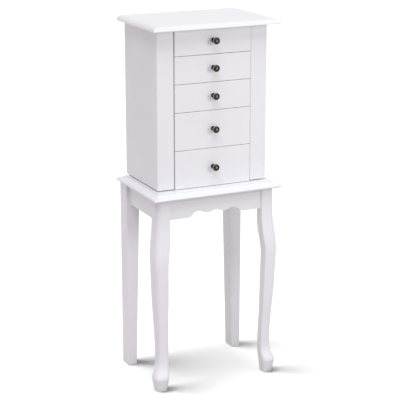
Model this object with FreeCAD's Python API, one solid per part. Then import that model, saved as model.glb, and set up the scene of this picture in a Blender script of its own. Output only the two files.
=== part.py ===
import FreeCAD, Part
import math
import os

from FreeCAD import Vector

# Jewelry chest on a stand: five drawers between two hinged side doors, under a hinged lid.
# Millimetres. +Z is up, +X is the chest's left-to-right seen from the front, -Y is the front.
# The origin is on the floor, under the middle of the base board, which is the widest and deepest piece.

# Base board
base_width = 336.0
base_depth = 238.0
base_thickness = 15.0
base_moulding_width = 17.0
base_quirk = 1.5
base_nose_thickness = 8.0
board_corner_radius = 2.0

# Legs
leg_height = 481.0
front_leg_side = 34.5
front_leg_side_inset = 12.0
front_leg_front_inset = 16.5
knee_lean = 7.8
rear_leg_width = 34.0
rear_leg_depth = 38.5
rear_leg_foot_width = 22.5
rear_leg_foot_depth = 36.0
rear_leg_side_inset = 10.0
rear_leg_rear_inset = 1.0
leg_inner_cut = 9.6
leg_block_drop = 1.0

# Cabriole leg, station by station: the sole, the pad's ridge and on up to the block. Shares of the curve's
# height, the knee's lean, the block's side, and, of the station's own side, the outer corner's and the side
# corners' radius.
cabriole_shares = [
    (0.000, 0.80, 0.83, 0.45, 0.32),
    (0.073, 0.93, 1.09, 0.45, 0.32),
    (0.090, 0.78, 1.06, 0.45, 0.30),
    (0.112, 0.46, 0.96, 0.44, 0.27),
    (0.146, 0.15, 0.83, 0.43, 0.23),
    (0.195, 0.08, 0.80, 0.42, 0.20),
    (0.280, 0.20, 0.80, 0.42, 0.18),
    (0.449, 0.60, 0.89, 0.42, 0.14),
    (0.651, 0.93, 0.99, 0.42, 0.11),
    (0.764, 1.00, 1.04, 0.42, 0.10),
    (0.853, 0.52, 1.10, 0.41, 0.09),
    (0.931, 0.12, 1.05, 0.40, 0.08),
    (1.000, 0.00, 1.00, 0.40, 0.08),
]

# Aprons
apron_height = 51.5
apron_thickness = 16.0
apron_recess = 5.0
scallop_half_length = 74.0
scallop_rise = 13.5
# Scallop from its end to the middle: shares of its half length and of its rise.
scallop_shares = [(1.0, 0.0), (0.65, 1.0), (0.29, 0.55), (0.0, 0.86)]

# Corner brackets and hanger bolts
bracket_thickness = 2.0
bracket_height = 34.0
bracket_tab = 22.0
bracket_leg_gap = 6.0
bolt_diameter = 6.0
bolt_depth_in_leg = 18.0
bolt_tail = 4.0
bolt_clearance = 0.2
bracket_hole_clearance = 0.8
nut_width = 10.0
nut_thickness = 5.0

# Cabinet
cabinet_side_inset = 25.0
cabinet_depth = 190.0
cabinet_rear_inset = 7.0
cabinet_floor_thickness = 9.0
wall_thickness = 12.0
back_thickness = 9.0

# Lid
lid_thickness = 12.0
lid_side_overhang = 20.5
lid_front_overhang = 32.0
lid_round_width = 11.5
lid_nose_height = 2.5
lid_bottom_radius = 1.0
lid_rest_gap = 0.3
lid_stop_angle = 95.0
mirror_width = 160.0
mirror_depth = 140.0
mirror_thickness = 3.0
mirror_gap = 0.3

# Doors
door_panel_thickness = 12.0
stile_width = 42.5
stile_thickness = 14.0
door_base_gap = 2.4
door_lid_gap = 1.5
door_back_gap = 1.0
door_wall_gap = 2.5
door_rail_thickness = 10.0
door_rail_wall_gap = 6.0
door_rail_back_gap = 4.0
stile_edge_radius = 1.5

# Necklace hooks
hook_count = 4
hook_pitch = 36.0
hook_width = 6.0
hook_strip = 1.6
hook_foot = 9.0
hook_shank = 12.0
hook_bend_radius = 4.5
hook_tip = 3.0

# Magnetic catches
catch_width = 10.0
catch_depth = 18.0
catch_height = 30.0
catch_gap = 0.3
strike_width = 12.0
strike_height = 22.0
strike_thickness = 1.2
strike_edge_inset = 1.5

# Hinges
hinge_length = 40.0
hinge_leaf_thickness = 1.2
hinge_knuckle_radius = 2.5
hinge_pin_radius = 1.2
hinge_pin_clearance = 0.05
hinge_end_clearance = 0.3
hinge_stand_off = 0.4
fixed_leaf_width = 14.0
door_leaf_width = 10.5
lid_leaf_width = 9.5
door_hinge_end_inset = 50.0
lid_hinge_spacing = 150.0
stop_tail_length = 3.9
stop_tail_thickness = 1.6

# Drawers, from the top one down
drawer_front_heights = [61.9, 65.0, 66.1, 90.4, 92.2]
drawer_seam = 1.0
drawer_base_gap = 0.9
drawer_lid_gap = 1.5
drawer_front_thickness = 14.0
drawer_front_proud = 3.0
drawer_stile_gap = 1.8
drawer_front_radius = 1.0
drawer_wall_front_gap = 0.5
drawer_side_thickness = 10.0
drawer_bottom_thickness = 3.0
drawer_bottom_lift = 4.0
drawer_rear_gap = 10.0
drawer_side_gap = 1.0
drawer_floor_gap = 1.5
drawer_top_drop = 12.0
drawer_tray_gap = 2.0

# Runners
runner_height = 7.0
runner_depth = 5.0
runner_lift = 10.0
runner_gap = 0.3
runner_tip_gap = 0.5
runner_front_inset = 4.0
runner_rear_gap = 3.0

# Knobs
knob_rise = 2.0
knob_flange_diameter = 11.0
knob_flange_thickness = 1.8
knob_neck_diameter = 8.5
knob_neck_length = 10.0
knob_flare_length = 4.0
knob_head_diameter = 16.8
knob_head_thickness = 6.0
knob_rim_radius = 3.2
knob_ring_width = 1.8
knob_ring_depth = 0.9
knob_dome_rise = 1.2

# Tray under the lid
tray_depth = 22.0
tray_floor_thickness = 3.0
tray_dado = 4.0
tray_rail_thickness = 10.0
divider_thickness = 5.0
divider_top_drop = 3.0
open_compartment_width = 57.0
ring_roll_width = 18.0
ring_roll_height = 16.0
ring_roll_foot = 13.0
ring_roll_gap = 1.2
soft_gap = 0.3

# One overrun serves all cuts.
overrun = 2.0

# Places worked out from the sizes above
base_top = leg_height + base_thickness
apron_bottom = leg_height - apron_height
leg_block_bottom = apron_bottom - leg_block_drop
cabinet_width = base_width - 2 * cabinet_side_inset
cabinet_rear = base_depth / 2 - cabinet_rear_inset
cabinet_front = cabinet_rear - cabinet_depth
seam_total = drawer_seam * (len(drawer_front_heights) - 1)
lid_bottom = base_top + drawer_base_gap + sum(drawer_front_heights) + seam_total + drawer_lid_gap
lid_front = cabinet_front - lid_front_overhang
lid_half_width = cabinet_width / 2 + lid_side_overhang
wall_top = lid_bottom - lid_rest_gap
door_outer = cabinet_width / 2
door_inner = door_outer - door_panel_thickness
stile_edge = door_outer - stile_width
stile_rear = cabinet_front + stile_thickness
door_bottom = base_top + door_base_gap
door_top = lid_bottom - door_lid_gap
wall_outer = stile_edge - door_wall_gap
wall_inner = wall_outer - wall_thickness
ring_compartment_width = 2 * wall_inner - divider_thickness - open_compartment_width
back_front = cabinet_rear - back_thickness
back_edge = door_inner - door_back_gap
front_half_width = stile_edge - drawer_stile_gap
front_face = cabinet_front - drawer_front_proud
front_rear = front_face + drawer_front_thickness
wall_front = front_rear + drawer_wall_front_gap
floor_top = base_top + cabinet_floor_thickness
tray_floor_top = wall_top - tray_depth
tray_floor_bottom = tray_floor_top - tray_floor_thickness
tray_front = wall_front + tray_rail_thickness
box_half_width = wall_inner - drawer_side_gap
box_inner_half = box_half_width - drawer_side_thickness
box_rear = back_front - drawer_rear_gap
# Every drawer box stands as far above its front's lower edge as the lowest one needs over the cabinet floor.
box_lift = cabinet_floor_thickness + drawer_floor_gap - drawer_base_gap
runner_edge = wall_inner - runner_depth
rail_inner = wall_outer + door_rail_wall_gap
rail_rear = back_front - door_rail_back_gap
hinge_axis_y = cabinet_rear + hinge_knuckle_radius + hinge_stand_off
door_axis_x = door_inner - door_back_gap / 2
lid_axis_z = lid_bottom - lid_rest_gap / 2
front_leg_outer = base_width / 2 - front_leg_side_inset
front_leg_inner = front_leg_outer - front_leg_side
front_leg_front = front_leg_front_inset - base_depth / 2
front_leg_rear = front_leg_front + front_leg_side
rear_leg_outer = base_width / 2 - rear_leg_side_inset
rear_leg_inner = rear_leg_outer - rear_leg_width
rear_leg_rear = base_depth / 2 - rear_leg_rear_inset
rear_leg_front = rear_leg_rear - rear_leg_depth
front_apron_front = front_leg_front + apron_recess
front_apron_rear = front_apron_front + apron_thickness
rear_apron_rear = rear_leg_rear - apron_recess
rear_apron_front = rear_apron_rear - apron_thickness
side_apron_outer = front_leg_outer - apron_recess
side_apron_inner = side_apron_outer - apron_thickness


def box(low, high):
    """A block between two opposite corners."""
    size = [b - a for a, b in zip(low, high)]
    return Part.makeBox(size[0], size[1], size[2], Vector(*low))


def mirrored(shape):
    """The same piece on the other side of the chest."""
    return shape.mirror(Vector(0, 0, 0), Vector(1, 0, 0))


def face_of(path, place):
    """A face inside a closed path of lines (2 points) and arcs (3 points); place puts a point in space."""
    edges = []
    for segment in path:
        points = [place(*point) for point in segment]
        if len(points) == 2:
            edges.append(Part.makeLine(points[0], points[1]))
        else:
            edges.append(Part.Arc(points[0], points[1], points[2]).toShape())
    return Part.Face(Part.Wire(edges))


def closed_lines(points):
    """The straight sides of a polygon as a path."""
    return [(a, b) for a, b in zip(points, points[1:] + points[:1])]


def arc_middle(centre, start, end):
    """The point half-way round the shorter arc from start to end."""
    radius = math.dist(centre, start)
    along = [start[i] + end[i] - 2 * centre[i] for i in (0, 1)]
    length = math.hypot(along[0], along[1])
    return tuple(centre[i] + radius * along[i] / length for i in (0, 1))


def ogee(start, end):
    """An S-curve of two equal arcs that leaves start and reaches end level."""
    half_run = (end[0] - start[0]) / 2
    half_rise = (end[1] - start[1]) / 2
    radius = (half_run ** 2 + half_rise ** 2) / (2 * half_rise)
    middle = (start[0] + half_run, start[1] + half_rise)
    first = arc_middle((start[0], start[1] + radius), start, middle)
    second = arc_middle((end[0], end[1] - radius), middle, end)
    return [(start, first, middle), (middle, second, end)]


def quarter(start, corner, end):
    """A quarter round that replaces a square corner between start and end."""
    centre = (start[0] + end[0] - corner[0], start[1] + end[1] - corner[1])
    return (start, arc_middle(centre, start, end), end)


def base_edge():
    """Moulded edge of the base board, from its top border down: quirk, ogee and half-round nose."""
    nose_radius = base_nose_thickness / 2
    border = (-base_moulding_width, base_thickness)
    quirk = (-base_moulding_width, base_thickness - base_quirk)
    nose_top = (-nose_radius, base_nose_thickness)
    nose = (nose_top, (0, nose_radius), (-nose_radius, 0))
    return [(border, quirk)] + ogee(quirk, nose_top) + [nose]


def lid_edge():
    """Nosing of the lid, from its top down: a broad round that leaves the top level, and a small one below."""
    top = (-lid_round_width, lid_thickness)
    nose_top = (0, lid_nose_height)
    nose_bottom = (0, lid_bottom_radius)
    drop = lid_thickness - lid_nose_height
    radius = (lid_round_width ** 2 + drop ** 2) / (2 * drop)
    upper = (top, arc_middle((-lid_round_width, lid_thickness - radius), top, nose_top), nose_top)
    lower = quarter(nose_bottom, (0, 0), (-lid_bottom_radius, 0))
    return [upper, (nose_top, nose_bottom), lower]


def square_edge(thickness):
    """A plain sawn edge."""
    return [((0, thickness), (0, 0))]


def board_path(low, high, low_edge, high_edge):
    """Cross-section of a board from low to high, with an edge moulding at each end."""
    right = [tuple((high + s, t) for s, t in segment) for segment in high_edge]
    left = [tuple((low - s, t) for s, t in reversed(segment)) for segment in reversed(low_edge)]
    top = (left[-1][-1], right[0][0])
    bottom = (right[-1][-1], left[0][0])
    return [top] + right + [bottom] + left


def moulded_board(half_width, front, rear, bottom, thickness, edge, rear_edge):
    """A board with one moulding mitred round its front and sides and another along its rear."""
    path_y = board_path(front, rear, edge, rear_edge)
    path_x = board_path(-half_width, half_width, edge, edge)
    profile_y = face_of(path_y, lambda s, t: Vector(-half_width, s, bottom + t))
    profile_x = face_of(path_x, lambda s, t: Vector(s, front, bottom + t))
    along_x = profile_y.extrude(Vector(2 * half_width, 0, 0))
    along_y = profile_x.extrude(Vector(0, rear - front, 0))
    plan = box((-half_width, front, bottom), (half_width, rear, bottom + thickness))
    uprights = [edge for edge in plan.Edges if edge.BoundBox.ZLength > thickness / 2]
    return along_x.common(along_y).common(plan.makeFillet(board_corner_radius, uprights))


def base_board():
    """The table top that carries the cabinet."""
    edge = base_edge()
    half_depth = base_depth / 2
    return moulded_board(base_width / 2, -half_depth, half_depth, leg_height, base_thickness, edge, edge)


def cabriole_section(station):
    """One section of the front right leg: square, round at the outer corner, cut off at the inner one."""
    height_share, lean_share, side_share, round_share, ease_share = station
    side = front_leg_side * side_share
    lean = knee_lean * lean_share
    outer_radius = side * round_share
    ease = side * ease_share
    cut = leg_inner_cut * side_share
    middle_x = (front_leg_outer + front_leg_inner) / 2 + lean
    middle_y = (front_leg_front + front_leg_rear) / 2 - lean
    left = middle_x - side / 2
    right = middle_x + side / 2
    front = middle_y - side / 2
    rear = middle_y + side / 2
    path = [((left + cut, rear), (right - ease, rear))]
    path.append(quarter((right - ease, rear), (right, rear), (right, rear - ease)))
    path.append(((right, rear - ease), (right, front + outer_radius)))
    path.append(quarter((right, front + outer_radius), (right, front), (right - outer_radius, front)))
    path.append(((right - outer_radius, front), (left + ease, front)))
    path.append(quarter((left + ease, front), (left, front), (left, front + ease)))
    path.append(((left, front + ease), (left, rear - cut)))
    path.append(((left, rear - cut), (left + cut, rear)))
    return face_of(path, lambda x, y: Vector(x, y, leg_block_bottom * height_share))


def front_leg():
    """The front right leg: a square block over a cabriole knee and ankle, and a pad that tapers to the sole."""
    faces = [cabriole_section(station) for station in cabriole_shares]
    sole, ridge = faces[0].OuterWire, faces[1].OuterWire
    pad = Part.makeLoft([sole, ridge], True, True)
    curved = Part.makeLoft([face.OuterWire for face in faces[1:]], True, False)
    block = faces[-1].extrude(Vector(0, 0, leg_height - leg_block_bottom))
    leg = pad.fuse(curved).fuse(block)
    return leg.cut(bolt_bore(front_leg_inner, front_leg_rear, 1))


def rear_leg_section(width, depth, height):
    """A section of the rear right leg, whose two outer faces stay upright."""
    inner = rear_leg_outer - width
    front = rear_leg_rear - depth
    corners = [(inner, front), (rear_leg_outer, front)]
    corners += [(rear_leg_outer, rear_leg_rear), (inner, rear_leg_rear)]
    return face_of(closed_lines(corners), lambda x, y: Vector(x, y, height))


def rear_leg():
    """The rear right leg: upright, with a cut inner corner, beside the aprons and tapered inside below them."""
    foot = rear_leg_section(rear_leg_foot_width, rear_leg_foot_depth, 0)
    knee = rear_leg_section(rear_leg_width, rear_leg_depth, apron_bottom)
    taper = Part.makeLoft([foot.OuterWire, knee.OuterWire], True, True)
    corner = [(rear_leg_inner, rear_leg_front), (rear_leg_inner + leg_inner_cut, rear_leg_front)]
    corner.append((rear_leg_inner, rear_leg_front + leg_inner_cut))
    cut = face_of(closed_lines(corner), lambda x, y: Vector(x, y, apron_bottom + leg_block_drop))
    leg = taper.fuse(knee.extrude(Vector(0, 0, apron_height)))
    leg = leg.cut(cut.extrude(Vector(0, 0, apron_height)))
    return leg.cut(bolt_bore(rear_leg_inner, rear_leg_front, -1))


def bolt_line(corner_x, corner_y, inward):
    """Foot and direction of a leg's bolt, square to the cut inner corner; inward is +1 in front, -1 behind."""
    half_cut = leg_inner_cut / 2
    foot = Vector(corner_x + half_cut, corner_y - inward * half_cut, leg_height - apron_height / 2)
    return foot, Vector(-1, inward, 0).normalize()


def bolt_bore(corner_x, corner_y, inward):
    """The blind hole for a leg's hanger bolt."""
    foot, direction = bolt_line(corner_x, corner_y, inward)
    start = foot - direction * (bolt_depth_in_leg + bolt_clearance)
    length = bolt_depth_in_leg + bolt_clearance + overrun
    return Part.makeCylinder(bolt_diameter / 2 + bolt_clearance / 2, length, start, direction)


def leg_bolt(corner_x, corner_y, inward):
    """A hanger bolt with its nut run up against the bracket."""
    foot, direction = bolt_line(corner_x, corner_y, inward)
    start = foot - direction * bolt_depth_in_leg
    seat = foot + direction * (bracket_leg_gap + bracket_thickness)
    length = bolt_depth_in_leg + bracket_leg_gap + bracket_thickness + nut_thickness + bolt_tail
    shank = Part.makeCylinder(bolt_diameter / 2, length, start, direction)
    across = direction.cross(Vector(0, 0, 1))
    corner_radius = nut_width / math.sqrt(3)
    corners = []
    for index in range(6):
        angle = math.radians(60 * index)
        rise = Vector(0, 0, corner_radius * math.sin(angle))
        corners.append(seat + across * corner_radius * math.cos(angle) + rise)
    nut = Part.Face(Part.makePolygon(corners + corners[:1])).extrude(direction * nut_thickness)
    return shank.fuse(nut)


def corner_bracket(corner_x, corner_y, cross_apron, inward):
    """A bent plate across an apron corner: a tab on each apron and a web square to the bolt."""
    foot, direction = bolt_line(corner_x, corner_y, inward)
    web = foot + direction * bracket_leg_gap
    # Worked out with +y pointing into the stand; outer faces lie on x = a, y = b and x - y = c.
    a = side_apron_inner
    b = inward * cross_apron
    c = web.x - inward * web.y
    t = bracket_thickness
    inner_c = c - t * math.sqrt(2)
    corners = [(c + b - bracket_tab, b), (c + b, b), (a, a - c), (a, a - c + bracket_tab)]
    corners += [(a - t, a - c + bracket_tab), (a - t, a - t - inner_c)]
    corners += [(inner_c + b + t, b + t), (c + b - bracket_tab, b + t)]
    bottom = leg_height - apron_height / 2 - bracket_height / 2
    plan = face_of(closed_lines(corners), lambda x, y: Vector(x, inward * y, bottom))
    plate = plan.extrude(Vector(0, 0, bracket_height))
    hole_radius = (bolt_diameter + bracket_hole_clearance) / 2
    hole_length = bracket_leg_gap + bracket_thickness + overrun
    return plate.cut(Part.makeCylinder(hole_radius, hole_length, foot, direction))


def front_apron():
    """The front apron, its lower edge scalloped in ogees about the middle."""
    rise = [(x * scallop_half_length, apron_bottom + z * scallop_rise) for x, z in scallop_shares]
    right = []
    for start, end in zip(rise, rise[1:]):
        right += ogee(start, end)
    left = [tuple((-x, z) for x, z in reversed(segment)) for segment in reversed(right)]
    end = front_leg_inner
    path = [((end, leg_height), (end, apron_bottom)), ((end, apron_bottom), right[0][0])] + right + left
    path += [(left[-1][-1], (-end, apron_bottom)), ((-end, apron_bottom), (-end, leg_height))]
    path += [((-end, leg_height), (end, leg_height))]
    return face_of(path, lambda x, z: Vector(x, front_apron_front, z)).extrude(Vector(0, apron_thickness, 0))


def tray_floor():
    """The tray's floor, let into a dado in each wall."""
    edge = wall_inner + tray_dado
    return box((-edge, wall_front, tray_floor_bottom), (edge, back_front, tray_floor_top))


def right_wall():
    """The right wall of the drawer case, with the dado that carries the tray floor."""
    wall = box((wall_inner, wall_front, base_top), (wall_outer, back_front, wall_top))
    return wall.cut(tray_floor())


def tray_dividers():
    """One divider beside the ring rolls and one across the rest of the tray."""
    left = ring_compartment_width - wall_inner
    right = left + divider_thickness
    top = wall_top - divider_top_drop
    middle = (tray_front + back_front) / 2
    long_divider = box((left, tray_front, tray_floor_top), (right, back_front, top))
    cross_low = (right, middle - divider_thickness / 2, tray_floor_top)
    cross_divider = box(cross_low, (wall_inner, middle + divider_thickness / 2, top))
    return [long_divider, cross_divider]


def ring_rolls():
    """Padded rolls side by side across the ring compartment, as many as fit, crowned over a narrow foot."""
    left = -wall_inner + soft_gap
    length = ring_compartment_width - 2 * soft_gap
    bottom = tray_floor_top + soft_gap
    room = back_front - tray_front - ring_roll_gap
    count = int(room // (ring_roll_width + ring_roll_gap))
    pitch = room / count
    half = ring_roll_width / 2
    belly = bottom + ring_roll_height - half
    rolls = []
    for index in range(count):
        middle = tray_front + ring_roll_gap / 2 + pitch * (index + 1 / 2)
        foot_front = (middle - ring_roll_foot / 2, bottom)
        foot_rear = (middle + ring_roll_foot / 2, bottom)
        front = (middle - half, belly)
        rear = (middle + half, belly)
        crown = (front, (middle, belly + half), rear)
        path = [(foot_front, front), crown, (rear, foot_rear), (foot_rear, foot_front)]
        rolls.append(face_of(path, lambda y, z: Vector(left, y, z)).extrude(Vector(length, 0, 0)))
    return rolls


def lid_board():
    """The lid: nosed at the front and sides, square at the hinged rear, with a recess for the mirror."""
    edge = lid_edge()
    rear_edge = square_edge(lid_thickness)
    lid = moulded_board(lid_half_width, lid_front, cabinet_rear, lid_bottom, lid_thickness, edge, rear_edge)
    return lid.cut(mirror(mirror_gap, overrun))


def mirror(gap, below):
    """The mirror set flush in the lid's underside over the tray, grown by a gap where it cuts its recess."""
    middle = (tray_front + back_front) / 2
    low = (-mirror_width / 2 - gap, middle - mirror_depth / 2 - gap, lid_bottom - below)
    high = (mirror_width / 2 + gap, middle + mirror_depth / 2 + gap, lid_bottom + mirror_thickness)
    return box(low, high)


def door_stile():
    """The right door's front stile, eased along its outer front edge."""
    stile = box((stile_edge, cabinet_front, door_bottom), (door_outer, stile_rear, door_top))
    outer = [edge for edge in stile.Edges if edge.BoundBox.XMin > door_inner]
    corner = [edge for edge in outer if edge.BoundBox.YMax < stile_rear - overrun]
    upright = [edge for edge in corner if edge.BoundBox.ZLength > stile_width]
    return stile.makeFillet(stile_edge_radius, upright)


def door_rails():
    """Top and bottom rails that close the right door's shallow box."""
    low = (rail_inner, stile_rear, door_bottom)
    bottom = box(low, (door_inner, rail_rear, door_bottom + door_rail_thickness))
    top = box((rail_inner, stile_rear, door_top - door_rail_thickness), (door_inner, rail_rear, door_top))
    return [top, bottom]


def door_hooks():
    """Necklace hooks under the right door's top rail: bent strips, each with a foot, a shank and a bowl."""
    rail_bottom = door_top - door_rail_thickness
    shank = door_inner - hook_foot
    middle_y = (stile_rear + rail_rear) / 2
    foot = rail_bottom - hook_strip
    bend = rail_bottom - hook_shank
    tip = bend + hook_tip
    centre = shank - hook_bend_radius
    outer = hook_bend_radius + hook_strip / 2
    inner = hook_bend_radius - hook_strip / 2
    outline = [((centre + outer, bend), (centre + outer, foot)), ((centre + outer, foot), (door_inner, foot))]
    outline.append(((door_inner, foot), (door_inner, rail_bottom)))
    outline.append(((door_inner, rail_bottom), (centre + inner, rail_bottom)))
    outline.append(((centre + inner, rail_bottom), (centre + inner, bend)))
    outline.append(((centre + inner, bend), (centre, bend - inner), (centre - inner, bend)))
    outline.append(((centre - inner, bend), (centre - inner, tip)))
    outline.append(((centre - inner, tip), (centre - outer, tip)))
    outline.append(((centre - outer, tip), (centre - outer, bend)))
    outline.append(((centre - outer, bend), (centre, bend - outer), (centre + outer, bend)))
    hooks = []
    for index in range(hook_count):
        y = middle_y + hook_pitch * (index - (hook_count - 1) / 2) - hook_width / 2
        hooks.append(face_of(outline, lambda x, z: Vector(x, y, z)).extrude(Vector(0, hook_width, 0)))
    return hooks


def door_strike():
    """The steel plate on the back of the right door's stile."""
    middle = (door_bottom + door_top) / 2
    edge = stile_edge + strike_edge_inset
    low = (edge, stile_rear, middle - strike_height / 2)
    return box(low, (edge + strike_width, stile_rear + strike_thickness, middle + strike_height / 2))


def door_catch():
    """The magnet case on the outside of the right wall, just behind the closed door's strike plate."""
    middle = (door_bottom + door_top) / 2
    front = stile_rear + strike_thickness + catch_gap
    low = (wall_outer, front, middle - catch_height / 2)
    return box(low, (wall_outer + catch_width, front + catch_depth, middle + catch_height / 2))


def hinge_knuckle(start, end, bore_radius):
    """A length of hinge barrel, hollow when it has a bore."""
    barrel = Part.makeCylinder(hinge_knuckle_radius, end - start, Vector(0, 0, start))
    if bore_radius == 0:
        return barrel
    return barrel.cut(Part.makeCylinder(bore_radius, end - start, Vector(0, 0, start)))


def hinge_leaf(side, width, knuckles, bore_radius):
    """A hinge leaf about the local Z axis: a plate to the side given (+1 or -1) and its own knuckles."""
    seat = -hinge_knuckle_radius - hinge_stand_off
    plate_start = hinge_knuckle_radius + hinge_end_clearance
    leaf = None
    for start, end in knuckles:
        web_x = sorted((0, side * (plate_start + hinge_leaf_thickness)))
        web = box((web_x[0], seat, start), (web_x[1], seat + hinge_leaf_thickness, end))
        if bore_radius > 0:
            web = web.cut(Part.makeCylinder(bore_radius, end - start, Vector(0, 0, start)))
        piece = web.fuse(hinge_knuckle(start, end, bore_radius))
        leaf = piece if leaf is None else leaf.fuse(piece)
    plate_x = sorted((side * plate_start, side * width))
    plate = box((plate_x[0], seat, 0), (plate_x[1], seat + hinge_leaf_thickness, hinge_length))
    return leaf.fuse(plate)


def fixed_leaf():
    """The leaf on the back panel, with the two end knuckles and the pin."""
    third = hinge_length / 3
    ends = [(0, third), (2 * third, hinge_length)]
    pin = Part.makeCylinder(hinge_pin_radius, hinge_length, Vector(0, 0, 0))
    return hinge_leaf(-1, fixed_leaf_width, ends, 0).fuse(pin).removeSplitter()


def moving_leaf(width, stop_angle):
    """The leaf that swings, with the middle knuckle; a stop angle above 0 adds a tail that ends its swing."""
    third = hinge_length / 3
    start = third + hinge_end_clearance
    end = 2 * third - hinge_end_clearance
    bore_radius = hinge_pin_radius + hinge_pin_clearance
    leaf = hinge_leaf(1, width, [(start, end)], bore_radius)
    if stop_angle > 0:
        # At the stop the tail lies against the fixed leaf; here it is turned back to the closed place.
        face = hinge_leaf_thickness - hinge_knuckle_radius - hinge_stand_off + hinge_end_clearance
        tail = box((-stop_tail_length, face, start), (0, face + stop_tail_thickness, end))
        tail = tail.cut(Part.makeCylinder(bore_radius, hinge_length, Vector(0, 0, 0)))
        leaf = leaf.fuse(tail.rotate(Vector(0, 0, 0), Vector(0, 0, 1), -stop_angle))
    return leaf.removeSplitter()


def on_door(leaf):
    """A leaf's two copies on the right door's upright axis."""
    low = door_bottom + door_hinge_end_inset
    high = door_top - door_hinge_end_inset - hinge_length
    return [leaf.translated(Vector(door_axis_x, hinge_axis_y, z)) for z in (low, high)]


def on_lid(leaf):
    """A leaf's two copies on the lid's level axis, with the swinging side up."""
    turn = FreeCAD.Rotation(Vector(0, 0, 1), Vector(0, 1, 0), Vector(-1, 0, 0), "XYZ")
    copies = []
    for side in (-1, 1):
        x = side * lid_hinge_spacing / 2 + hinge_length / 2
        copy = leaf.copy()
        copy.Placement = FreeCAD.Placement(Vector(x, hinge_axis_y, lid_axis_z), turn)
        copies.append(copy)
    return copies


def drawer_front(low, high):
    """A drawer front, eased round its face."""
    front = box((-front_half_width, front_face, low), (front_half_width, front_rear, high))
    eased = [edge for edge in front.Edges if edge.BoundBox.YMax < front_face + overrun]
    return front.makeFillet(drawer_front_radius, eased)


def drawer_box(low, high):
    """The two sides, each grooved for its runner, and the back of a drawer."""
    groove_low = low + runner_lift - runner_gap
    groove_high = low + runner_lift + runner_height + runner_gap
    side = box((box_inner_half, front_rear, low), (box_half_width, box_rear, high))
    groove = box((runner_edge - runner_tip_gap, front_rear, groove_low), (wall_inner, box_rear, groove_high))
    right = side.cut(groove)
    back_low = (-box_inner_half, box_rear - drawer_side_thickness, low)
    back = box(back_low, (box_inner_half, box_rear, high))
    return [right, mirrored(right), back]


def drawer_bottom(low):
    """The panel that closes a drawer box between its sides."""
    bottom = low + drawer_bottom_lift
    high = (box_inner_half, box_rear - drawer_side_thickness, bottom + drawer_bottom_thickness)
    return box((-box_inner_half, front_rear, bottom), high)


def drawer_runners(low):
    """The two strips on the walls that a drawer's grooved sides slide on."""
    bottom = low + runner_lift
    front = wall_front + runner_front_inset
    rear = back_front - runner_rear_gap
    right = box((runner_edge, front, bottom), (wall_inner, rear, bottom + runner_height))
    return [right, mirrored(right)]


def knob(height):
    """A turned knob: flange, straight neck and flared mushroom head with a sunk ring round a low dome."""
    flange = knob_flange_diameter / 2
    neck = knob_neck_diameter / 2
    head = knob_head_diameter / 2
    neck_start = knob_flange_thickness
    neck_end = neck_start + knob_neck_length
    rim = neck_end + knob_flare_length
    face = neck_end + knob_head_thickness + knob_rim_radius
    ring_outer = head - knob_rim_radius
    ring_inner = ring_outer - knob_ring_width
    ring_floor = face - knob_ring_depth
    corners = [(0, 0), (flange, 0), (flange, neck_start), (neck, neck_start), (neck, neck_end), (head, rim)]
    path = [(a, b) for a, b in zip(corners, corners[1:])]
    path.append(((head, rim), (head, face - knob_rim_radius)))
    path.append(quarter((head, face - knob_rim_radius), (head, face), (ring_outer, face)))
    corners = [(ring_outer, face), (ring_outer, ring_floor), (ring_inner, ring_floor), (ring_inner, face)]
    corners += [(0, face + knob_dome_rise), (0, 0)]
    path += [(a, b) for a, b in zip(corners, corners[1:])]
    profile = face_of(path, lambda r, out: Vector(r, front_face - out, height))
    return profile.revolve(Vector(0, front_face, height), Vector(0, -1, 0), 360)


def stand_nodes():
    """The base board, the legs, the aprons and what holds them together."""
    left_leg = mirrored(front_leg())
    right_apron_low = (side_apron_inner, front_leg_rear, apron_bottom)
    right_apron = box(right_apron_low, (side_apron_outer, rear_leg_front, leg_height))
    rear_low = (-rear_leg_inner, rear_apron_front, apron_bottom)
    rear_apron = box(rear_low, (rear_leg_inner, rear_apron_rear, leg_height))
    brackets = [corner_bracket(front_leg_inner, front_leg_rear, front_apron_rear, 1)]
    brackets.append(corner_bracket(rear_leg_inner, rear_leg_front, rear_apron_front, -1))
    bolts = [leg_bolt(front_leg_inner, front_leg_rear, 1), leg_bolt(rear_leg_inner, rear_leg_front, -1)]
    return {
        "base_top": [base_board()],
        "front_apron": [front_apron()],
        "rear_apron": [rear_apron],
        "left_apron": [mirrored(right_apron)],
        "right_apron": [right_apron],
        "front_left_leg": [left_leg],
        "front_right_leg": [front_leg()],
        "rear_left_leg": [mirrored(rear_leg())],
        "rear_right_leg": [rear_leg()],
        "corner_brackets": brackets + [mirrored(bracket) for bracket in brackets],
        "leg_bolts": bolts + [mirrored(bolt) for bolt in bolts],
    }


def cabinet_nodes():
    """The drawer case on the base board, the tray at its top, the fixed hinge leaves and the catches."""
    wall = right_wall()
    catch = door_catch()
    floor = box((-wall_inner, wall_front, base_top), (wall_inner, back_front, floor_top))
    back = box((-back_edge, back_front, base_top), (back_edge, cabinet_rear, wall_top))
    rail = box((-wall_inner, wall_front, tray_floor_top), (wall_inner, tray_front, wall_top))
    door_leaves = on_door(fixed_leaf())
    return {
        "cabinet_floor": [floor],
        "left_wall": [mirrored(wall)],
        "right_wall": [wall],
        "back_panel": [back],
        "tray_floor": [tray_floor()],
        "tray_front_rail": [rail],
        "tray_dividers": tray_dividers(),
        "ring_rolls": ring_rolls(),
        "door_catches": [catch, mirrored(catch)],
        "door_hinge_fixed_leaves": door_leaves + [mirrored(leaf) for leaf in door_leaves],
        "lid_hinge_fixed_leaves": on_lid(fixed_leaf()),
    }


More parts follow.
